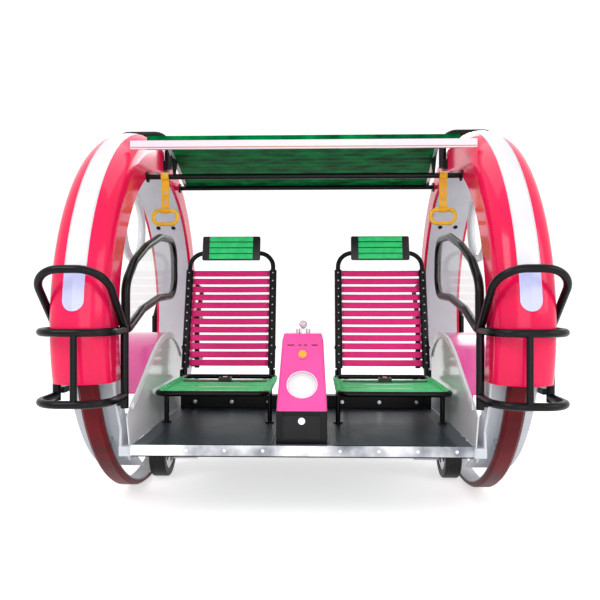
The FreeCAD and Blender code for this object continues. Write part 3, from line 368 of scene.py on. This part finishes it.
beam_low, beam_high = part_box("seat_beam")
BEAM_PITCH = 0.20
beam_bolts = bmesh.new()
for step in range(-3, 4):
    spot = Vector((step * BEAM_PITCH, beam_low[1], (beam_low[2] + beam_high[2]) / 2))
    bolt_head(beam_bolts, spot, (0, -1, 0), 0.007, 0.006)
piece_from(beam_bolts, "seat_beam_bolts", chrome, smooth=False)


# ---- Canopy
# A moulded green sheet between aluminium rails, with shallow ribs. A white and pink fascia closes the
# front, with a thin tan line along it.

canopy_green = paint("green sheet", (0.0, 0.24, 0.055), (0.0, 0.07, 0.018), (0.18, 0.34), blotch=9.0)
canopy_tree = canopy_green.node_tree
canopy_tree.nodes["Principled BSDF"].inputs["IOR"].default_value = 1.02
relief(canopy_tree, wave(canopy_tree, "Y", 4.0), 0.25, 0.004)
dress("canopy_panel", canopy_green)
rail_metal = paint("brushed aluminium", (0.74, 0.75, 0.77), (0.60, 0.61, 0.63), (0.22, 0.38), metal=1.0,
                   blotch=18.0, grain=0.2)
dress("canopy_rails", rail_metal)
fascia_white = paint("fascia white", (0.90, 0.72, 0.82), (0.88, 0.80, 0.86), (0.2, 0.35), blotch=1.2)
dress("canopy_fascia", fascia_white)

fascia_low, fascia_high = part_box("canopy_fascia")
trim_tan = paint("tan line", (0.55, 0.36, 0.20), (0.42, 0.26, 0.14), (0.45, 0.6), grain=0.2)
LINE_UP = 0.007
LINE_TALL = 0.0045
LINE_THICK = 0.0012
line_long = fascia_high[0] - fascia_low[0] - 0.004
fascia_line = bmesh.new()
grown = bmesh.ops.create_cube(fascia_line, size=1.0)["verts"]
bmesh.ops.scale(fascia_line, verts=grown, vec=(line_long, LINE_THICK, LINE_TALL))
bmesh.ops.translate(fascia_line, verts=grown, vec=(0, fascia_low[1] - 0.0005, fascia_low[2] + LINE_UP))
bmesh.ops.bevel(fascia_line, geom=fascia_line.edges[:], offset=0.0003, segments=2, profile=0.5,
                affect="EDGES", material=-1)
piece_from(fascia_line, "fascia_line", trim_tan, smooth=False)


# ---- Seat and back bands
# Elastic webbing stretched between the tubes, sewn in loops. The seat's bands are green and the back's
# are magenta. Each is crowned a little across its width, and sags a little in the middle.

def webbing(name, colour, shade, along=110.0, across=160.0, sheen=0.3):
    """A woven band: ribs along its length crossed by finer picks."""
    material = paint(name, colour, shade, (0.45, 0.65), blotch=25.0)
    tree = material.node_tree
    shader = tree.nodes["Principled BSDF"]
    shader.inputs["Sheen Weight"].default_value = sheen
    weave = tree.nodes.new("ShaderNodeMath")
    weave.operation = "ADD"
    tree.links.new(wave(tree, "Z", along), weave.inputs[0])
    tree.links.new(wave(tree, "X", across), weave.inputs[1])
    relief(tree, weave.outputs["Value"], 0.25, 0.0005)
    return material


bungee_green = webbing("green bungee webbing", (0.045, 1.0, 0.30), (0.02, 0.88, 0.24))
bungee_magenta = webbing("magenta bungee webbing", (1.0, 0.0, 0.24), (0.90, 0.0, 0.20))

CHAIR_X = 0.410
PIVOT_Y = 0.100
PIVOT_Z = 0.520
LEAN = math.radians(14)
SEAT_Z = 0.500
BAND_TALL = 0.033
BAND_PITCH = 0.045
BAND_THICK = 0.0046
BACK_BANDS = 12
SEAT_BANDS = 11
FIRST_UP = 0.050
FIRST_FORWARD = -0.385


def band(mesh, length, sag, place, tall=BAND_TALL):
    """One band lying along X: a strip with thickness, crowned and sagged, then put in place."""
    strip = bmesh.new()
    bmesh.ops.create_grid(strip, x_segments=20, y_segments=6, size=0.5)
    bmesh.ops.scale(strip, verts=strip.verts, vec=(length, tall, 1))
    bmesh.ops.rotate(strip, verts=strip.verts, cent=(0, 0, 0),
                     matrix=Matrix.Rotation(math.radians(90), 3, "X"))
    bmesh.ops.solidify(strip, geom=strip.faces[:], thickness=BAND_THICK)
    middle_y = sum(vert.co.y for vert in strip.verts) / len(strip.verts)
    bmesh.ops.translate(strip, verts=strip.verts, vec=(0, -middle_y, 0))
    for vert in strip.verts:
        across = vert.co.z / (tall / 2)
        middle = 1 - (2 * vert.co.x / length) ** 2
        vert.co.y *= 1 - 0.5 * across ** 4
        vert.co.y += sag * middle
    bmesh.ops.transform(strip, matrix=place, verts=strip.verts)
    data = bpy.data.meshes.new("band")
    strip.to_mesh(data)
    strip.free()
    mesh.from_mesh(data)
    bpy.data.meshes.remove(data)


def leaned(side):
    """A chair's own frame: at the back's pivot, with Z up the leaning back."""
    return Matrix.Translation((side * CHAIR_X, PIVOT_Y, PIVOT_Z)) @ Matrix.Rotation(-LEAN, 4, "X")


def band_up(step):
    """Height along the back of the middle of one back band."""
    return FIRST_UP + step * BAND_PITCH + BAND_TALL / 2


def band_forward(step):
    """Place along Y of the middle of one seat band."""
    return FIRST_FORWARD + step * BAND_PITCH + BAND_TALL / 2


SLEEVE_R = 0.020
BACK_TUBE_X = 0.2307
SEAT_TUBE_X = 0.2475
SEAT_HALF = 0.2345
LOOP_R = 0.0142
LOOP_THICK = 0.0014
back_half = BACK_TUBE_X - SLEEVE_R - 0.0003
for word, side in SIDES.items():
    back_mesh = bmesh.new()
    for step in range(BACK_BANDS):
        sag = 0.003 + 0.0015 * math.sin(step * 1.7 + side)
        band(back_mesh, 2 * back_half, sag, leaned(side) @ Matrix.Translation((0, 0, band_up(step))))
    backs = piece_from(back_mesh, f"back_webbing_{word}", bungee_magenta)
    if side > 0:
        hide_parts("back_bands")
    seat_mesh = bmesh.new()
    for step in range(SEAT_BANDS):
        sag = 0.003 + 0.001 * math.sin(step * 2.3 + side)
        flat = Matrix.Rotation(math.radians(-90), 4, "X")
        band(seat_mesh, 2 * SEAT_HALF, sag,
             Matrix.Translation((side * CHAIR_X, band_forward(step), SEAT_Z)) @ flat)
    seats = piece_from(seat_mesh, f"seat_webbing_{word}", bungee_green)
    if side > 0:
        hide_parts("seat_bands")

# the loops where each seat band turns round the tube
loops_mesh = bmesh.new()
for side in SIDES.values():
    for offset in (-SEAT_TUBE_X, SEAT_TUBE_X):
        for step in range(SEAT_BANDS):
            ring = bmesh.ops.create_cone(loops_mesh, cap_ends=False, segments=20, radius1=LOOP_R,
                                         radius2=LOOP_R, depth=BAND_TALL)["verts"]
            turn = Matrix.Rotation(math.radians(90), 4, "X")
            spot = Matrix.Translation((side * CHAIR_X + offset, band_forward(step), SEAT_Z))
            bmesh.ops.transform(loops_mesh, matrix=spot @ turn, verts=ring)
bmesh.ops.solidify(loops_mesh, geom=loops_mesh.faces[:], thickness=LOOP_THICK)
piece_from(loops_mesh, "seat_band_loops", bungee_green)


# ---- Back frames
# Enamelled tube with black padded sleeves down both sides, laced on with rivets.

sleeve_black = paint("back frame enamel", (0.008, 0.008, 0.010), (0.004, 0.004, 0.005), (0.25, 0.45),
                     blotch=14.0, grain=0.25, grain_size=350.0, shine=0.15)
dress("back_frames", sleeve_black)
RIVET_R = 0.0042
rivets = bmesh.new()
for side in SIDES.values():
    for offset in (-BACK_TUBE_X, BACK_TUBE_X):
        for step in range(BACK_BANDS):
            spot = leaned(side) @ Vector((offset, -SLEEVE_R - 0.0001, band_up(step)))
            grown = bmesh.ops.create_uvsphere(rivets, u_segments=10, v_segments=6, radius=RIVET_R)["verts"]
            bmesh.ops.scale(rivets, verts=grown, vec=(1, 0.5, 1))
            bmesh.ops.translate(rivets, verts=grown, vec=spot)
piece_from(rivets, "sleeve_rivets", steel)


# ---- Headrests
# Foam pads with black vinyl ends. Four green bands are stretched side by side over the middle.

vinyl_black = paint("black vinyl", (0.020, 0.020, 0.023), (0.012, 0.012, 0.014), (0.32, 0.5), blotch=12.0,
                    grain=0.5, grain_size=420.0)
HEAD_UP = 0.698
HEAD_OUT = 0.0298
PAD_SIZE = (0.320, 0.028, 0.136)
PAD_ROUND = 0.009
STRIP_LONG = 0.240
STRIP_TALL = 0.0285
STRIP_PITCH = 0.0335
for word, side in SIDES.items():
    pad_place = leaned(side) @ Matrix.Translation((0, -HEAD_OUT, HEAD_UP))
    core = bmesh.new()
    grown = bmesh.ops.create_cube(core, size=1.0)["verts"]
    bmesh.ops.scale(core, verts=grown, vec=PAD_SIZE)
    bmesh.ops.bevel(core, geom=core.edges[:], offset=PAD_ROUND, segments=4, profile=0.5,
                    affect="EDGES", material=-1)
    bmesh.ops.transform(core, matrix=pad_place, verts=core.verts)
    pad = piece_from(core, f"headrest_pad_{word}", vinyl_black)
    if side > 0:
        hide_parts("headrests")
    strips = bmesh.new()
    for step in range(4):
        place = pad_place @ Matrix.Translation((0, -PAD_SIZE[1] / 2, (step - 1.5) * STRIP_PITCH))
        band(strips, STRIP_LONG, -0.001, place, tall=STRIP_TALL)
    piece_from(strips, f"headrest_bands_{word}", bungee_green)


# ---- Lap belts
# Black polyester webbing across the seat. The buckle has a moulded case and a red push button.

belt_web = webbing("black belt webbing", (0.028, 0.028, 0.032), (0.016, 0.016, 0.018), along=60.0,
                   across=220.0)
belt_low, belt_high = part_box("seat_belts")
buckle_case = paint("buckle case", (0.03, 0.03, 0.033), (0.02, 0.02, 0.022), (0.3, 0.45), grain=0.3,
                    grain_size=900.0)
button_red = paint("red button", (0.75, 0.012, 0.010), (0.60, 0.008, 0.008), (0.18, 0.3), coat=0.3)
BELT_LONG = 0.430
BELT_WIDE = 0.047
BELT_THICK = 0.0013
FLAT_HALF = 0.034
CASE_LONG = 0.0638
CASE_WIDE = 0.0538
POCKET_EDGE = 0.012
POCKET_DEEP = 0.0098
belt_y = (belt_low[1] + belt_high[1]) / 2
case_tall = belt_high[2] - belt_low[2] - 0.0002
for word, side in SIDES.items():
    dress(f"belt_button_{word}", button_red)
    web_mesh = bmesh.new()
    grown = bmesh.ops.create_grid(web_mesh, x_segments=60, y_segments=6, size=0.5)["verts"]
    bmesh.ops.scale(web_mesh, verts=grown, vec=(BELT_LONG, BELT_WIDE, 1))
    for vert in grown:
        if abs(vert.co.x) > FLAT_HALF:
            vert.co.z += 0.0022 * math.sin(vert.co.x * 70) ** 2 + 0.0009 * math.cos(vert.co.y * 60)
    bmesh.ops.translate(web_mesh, verts=grown, vec=(side * CHAIR_X, belt_y, belt_low[2] + 0.0012))
    bmesh.ops.solidify(web_mesh, geom=web_mesh.faces[:], thickness=BELT_THICK)
    piece_from(web_mesh, f"belt_webbing_{word}", belt_web)
    case = bmesh.new()
    grown = bmesh.ops.create_cube(case, size=1.0)["verts"]
    bmesh.ops.scale(case, verts=grown, vec=(CASE_LONG, CASE_WIDE, case_tall))
    bmesh.ops.translate(case, verts=grown, vec=(side * CHAIR_X, belt_y, (belt_low[2] + belt_high[2]) / 2))
    top = max(case.faces, key=lambda face: face.calc_center_median().z)
    upright = [edge for edge in case.edges if abs(edge.verts[0].co.z - edge.verts[1].co.z) > 0.01]
    bmesh.ops.bevel(case, geom=upright + list(top.edges), offset=0.004, segments=3, profile=0.5,
                    affect="EDGES", material=-1)
    top = max(case.faces, key=lambda face: face.calc_center_median().z)
    bmesh.ops.inset_region(case, faces=[top], thickness=POCKET_EDGE)
    bmesh.ops.translate(case, verts=list(top.verts), vec=(0, 0, -POCKET_DEEP))
    buckle = piece_from(case, f"belt_buckle_{word}", buckle_case, smooth=False)
    if side > 0:
        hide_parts("seat_belts")


# ---- Console
# A black steel base with a locked door carries a pink moulded pedestal. A white dome lamp sits on its
# sloping face, with a lit amber button and a row of narrow slots above it.

dress("console_base", black_gloss)
dress("console_door", paint("door enamel", (0.010, 0.010, 0.012), (0.005, 0.005, 0.006), (0.22, 0.4),
                            blotch=9.0, grain=0.2, shine=0.2))
dress("door_lock", chrome)
dress("console_shell", console_pink)
dome_white = paint("dome diffuser", (0.90, 0.89, 0.93), (0.84, 0.83, 0.89), (0.16, 0.28), coat=0.4)
glow(dome_white, (1.0, 0.98, 1.0), 0.08)
dress("dome_lamp", dome_white)
amber = paint("amber lens", (1.0, 0.32, 0.015), (0.9, 0.24, 0.01), (0.10, 0.2), blotch=60.0, coat=0.4)
glow(amber, (1.0, 0.35, 0.03), 0.5)
dress("amber_button", amber)

shell_low, shell_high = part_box("console_shell")
TOP_FRONT_Y = -0.450
TOP_DROP = 0.030
face_foot = Vector((0, shell_low[1], shell_low[2]))
face_head = Vector((0, TOP_FRONT_Y, shell_high[2] - TOP_DROP))
face_way = (face_head - face_foot).normalized()
face_out = Vector((0, -face_way.z, face_way.y))
face_turn = Matrix((Vector((1, 0, 0)), face_way, -face_out)).transposed().to_4x4()


def on_face(along, across=0.0, proud=0.0):
    """A place on the sloping face, with local Z into the console."""
    spot = face_foot + face_way * along + face_out * proud + Vector((across, 0, 0))
    return Matrix.Translation(spot) @ face_turn


dome_low, dome_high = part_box("dome_lamp")
dome_r = (dome_high[0] - dome_low[0]) / 2
DOME_ALONG = 0.124
BEZEL_SECTION = [(0.0008, -0.0008), (0.0018, -0.0045), (0.0052, -0.0045), (0.0072, -0.0008)]
dome_ring = bmesh.new()
corners = [dome_ring.verts.new((dome_r + out, 0, depth)) for out, depth in BEZEL_SECTION]
profile = [dome_ring.edges.new(pair) for pair in zip(corners, corners[1:] + corners[:1])]
bmesh.ops.spin(dome_ring, geom=corners + profile, cent=(0, 0, 0), axis=(0, 0, 1), angle=math.tau, steps=64,
               use_merge=True)
bmesh.ops.transform(dome_ring, matrix=on_face(DOME_ALONG), verts=dome_ring.verts)
piece_from(dome_ring, "dome_bezel", lip_pale)

# The slots are thin black strips laid on the sloping face: painted shade in place of the shade inside real
# slots.
slot_painted_shade = paint("slot painted shade", (0.012, 0.010, 0.012), (0.006, 0.005, 0.006), (0.3, 0.5),
                   grain=0.2)
VENT_ALONG = 0.322
VENT_TALL = 0.0055
VENTS = ((-0.052, 0.030), (0.052, 0.026), (-0.012, 0.014), (0.012, 0.014))
slots = bmesh.new()
for across, wide in VENTS:
    grown = bmesh.ops.create_cube(slots, size=1.0)["verts"]
    bmesh.ops.scale(slots, verts=grown, vec=(wide, VENT_TALL, 0.0008))
    bmesh.ops.transform(slots, matrix=on_face(VENT_ALONG, across, 0.0005), verts=grown)
piece_from(slots, "console_vents", slot_painted_shade, smooth=False)


# ---- Joystick
# A chromed flange on the console's top holds a gimbal. The short lever ends in a pale ball knob.

dress("joystick_base", chrome)
dress("joystick_gimbal", steel)
dress("joystick_lever", paint("pale knob resin", (0.80, 0.70, 0.74), (0.66, 0.58, 0.64), (0.06, 0.14),
                              blotch=30.0, coat=0.6))
flange_low, flange_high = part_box("joystick_base")
flange_y = (flange_low[1] + flange_high[1]) / 2
SCREW_CIRCLE = 0.0265
flange_screws = bmesh.new()
for step in range(4):
    turn = math.radians(45 + 90 * step)
    spot = Vector((SCREW_CIRCLE * math.cos(turn), flange_y + SCREW_CIRCLE * math.sin(turn), flange_high[2]))
    bolt_head(flange_screws, spot, (0, 0, 1), 0.0024, 0.0016)
piece_from(flange_screws, "joystick_screws", steel, smooth=False)


# ---- Grab straps
# Yellow moulded straps that hang from the cross tube, each with an oval handle of hard plastic.

strap_yellow = webbing("yellow strap", (0.86, 0.46, 0.008), (0.76, 0.38, 0.006), along=40.0, across=90.0,
                       sheen=0.1)
handle_yellow = paint("yellow handle plastic", (0.90, 0.50, 0.008), (0.80, 0.42, 0.006), (0.2, 0.34),
                      blotch=20.0, grain=0.15)
for word in SIDES:
    dress(f"grab_strap_{word}", strap_yellow)
    dress(f"strap_handle_{word}", handle_yellow)


# ---- Floor, light and camera
# A pale floor that curves up behind, soft lamps on both sides, behind, above and in front, and a camera
# a little below eye height.

FLOOR_HALF = 16
FLOOR_PATH = [(-14, 0), (8, 0), (10, 0.5), (11, 1.8), (11.4, 4), (11.4, 14)]
floor_mesh = bmesh.new()
row = [floor_mesh.verts.new((-FLOOR_HALF, y, z)) for y, z in FLOOR_PATH]
edges = [floor_mesh.edges.new(pair) for pair in zip(row, row[1:])]
made = bmesh.ops.extrude_edge_only(floor_mesh, edges=edges)["geom"]
bmesh.ops.translate(floor_mesh, verts=[item for item in made if isinstance(item, bmesh.types.BMVert)],
                    vec=(2 * FLOOR_HALF, 0, 0))
floor_data = bpy.data.meshes.new("floor")
bmesh.ops.recalc_face_normals(floor_mesh, faces=floor_mesh.faces)
floor_mesh.to_mesh(floor_data)
floor_mesh.free()
floor_data.shade_smooth()
floor = bpy.data.objects.new("floor", floor_data)
bpy.context.scene.collection.objects.link(floor)
floor_pale = paint("pale floor", (0.86, 0.86, 0.86), (0.84, 0.84, 0.84), (0.7, 0.85), blotch=0.6)
floor_tree = floor_pale.node_tree


def seen_strength(tree, plain, seen):
    """A strength that is higher where the camera, a reflection or a clear pane looks straight at it."""
    rays = tree.nodes.new("ShaderNodeLightPath")
    mirrored = tree.nodes.new("ShaderNodeMath")
    mirrored.operation = "MAXIMUM"
    direct = tree.nodes.new("ShaderNodeMath")
    direct.operation = "MAXIMUM"
    blend = tree.nodes.new("ShaderNodeMapRange")
    blend.inputs["To Min"].default_value = plain
    blend.inputs["To Max"].default_value = seen
    tree.links.new(rays.outputs["Is Glossy Ray"], mirrored.inputs[0])
    tree.links.new(rays.outputs["Is Transmission Ray"], mirrored.inputs[1])
    tree.links.new(rays.outputs["Is Camera Ray"], direct.inputs[0])
    tree.links.new(mirrored.outputs["Value"], direct.inputs[1])
    tree.links.new(direct.outputs["Value"], blend.inputs["Value"])
    return blend.outputs["Result"]


floor_tree.links.new(seen_strength(floor_tree, 0.0, 0.62),
                     floor_tree.nodes["Principled BSDF"].inputs["Emission Strength"])
floor_tree.nodes["Principled BSDF"].inputs["Emission Color"].default_value = (1.0, 1.0, 1.0, 1.0)
floor_data.materials.append(floor_pale)

world = bpy.data.worlds.new("studio")
world.use_nodes = True
world.node_tree.nodes["Background"].inputs["Color"].default_value = (1.0, 1.0, 1.0, 1.0)
world.node_tree.links.new(seen_strength(world.node_tree, 0.5, 1.0),
                          world.node_tree.nodes["Background"].inputs["Strength"])
bpy.context.scene.world = world


def lamp(name, spot, target, wide, power):
    """A soft square lamp aimed at a point."""
    light = bpy.data.lights.new(name, "AREA")
    light.size = wide
    light.energy = power
    thing = bpy.data.objects.new(name, light)
    bpy.context.scene.collection.objects.link(thing)
    way = Vector(target) - Vector(spot)
    thing.matrix_world = Matrix.Translation(spot) @ way.to_track_quat("-Z", "Y").to_matrix().to_4x4()


middle = (0, 0, 0.9)
low_middle = (0, 0, 0.7)
lamp("key", (-3.2, -4.0, 4.2), middle, 2.4, 105)
lamp("fill", (4.0, -3.2, 2.6), middle, 3.0, 70)
lamp("back", (1.5, 4.5, 4.0), middle, 2.5, 80)
lamp("top", (0, 0.2, 4.8), middle, 3.0, 45)
lamp("front", (0.5, -5.6, 1.5), low_middle, 3.0, 55)

LENS = 37.45
CAMERA_SPOT = (0.0608, -3.2064, 0.9163)
camera_data = bpy.data.cameras.new("camera")
camera_data.sensor_width = 36.0
camera_data.lens = LENS
camera = bpy.data.objects.new("camera", camera_data)
bpy.context.scene.collection.objects.link(camera)
look = Vector((-0.0265, 0.99965, 0.0009)).normalized()
right = Vector((0.99965, 0.0265, 0.0)).normalized()
up = right.cross(look)
turn = Matrix((right, up, -look)).transposed().to_4x4()
camera.matrix_world = Matrix.Translation(CAMERA_SPOT) @ turn
bpy.context.scene.camera = camera
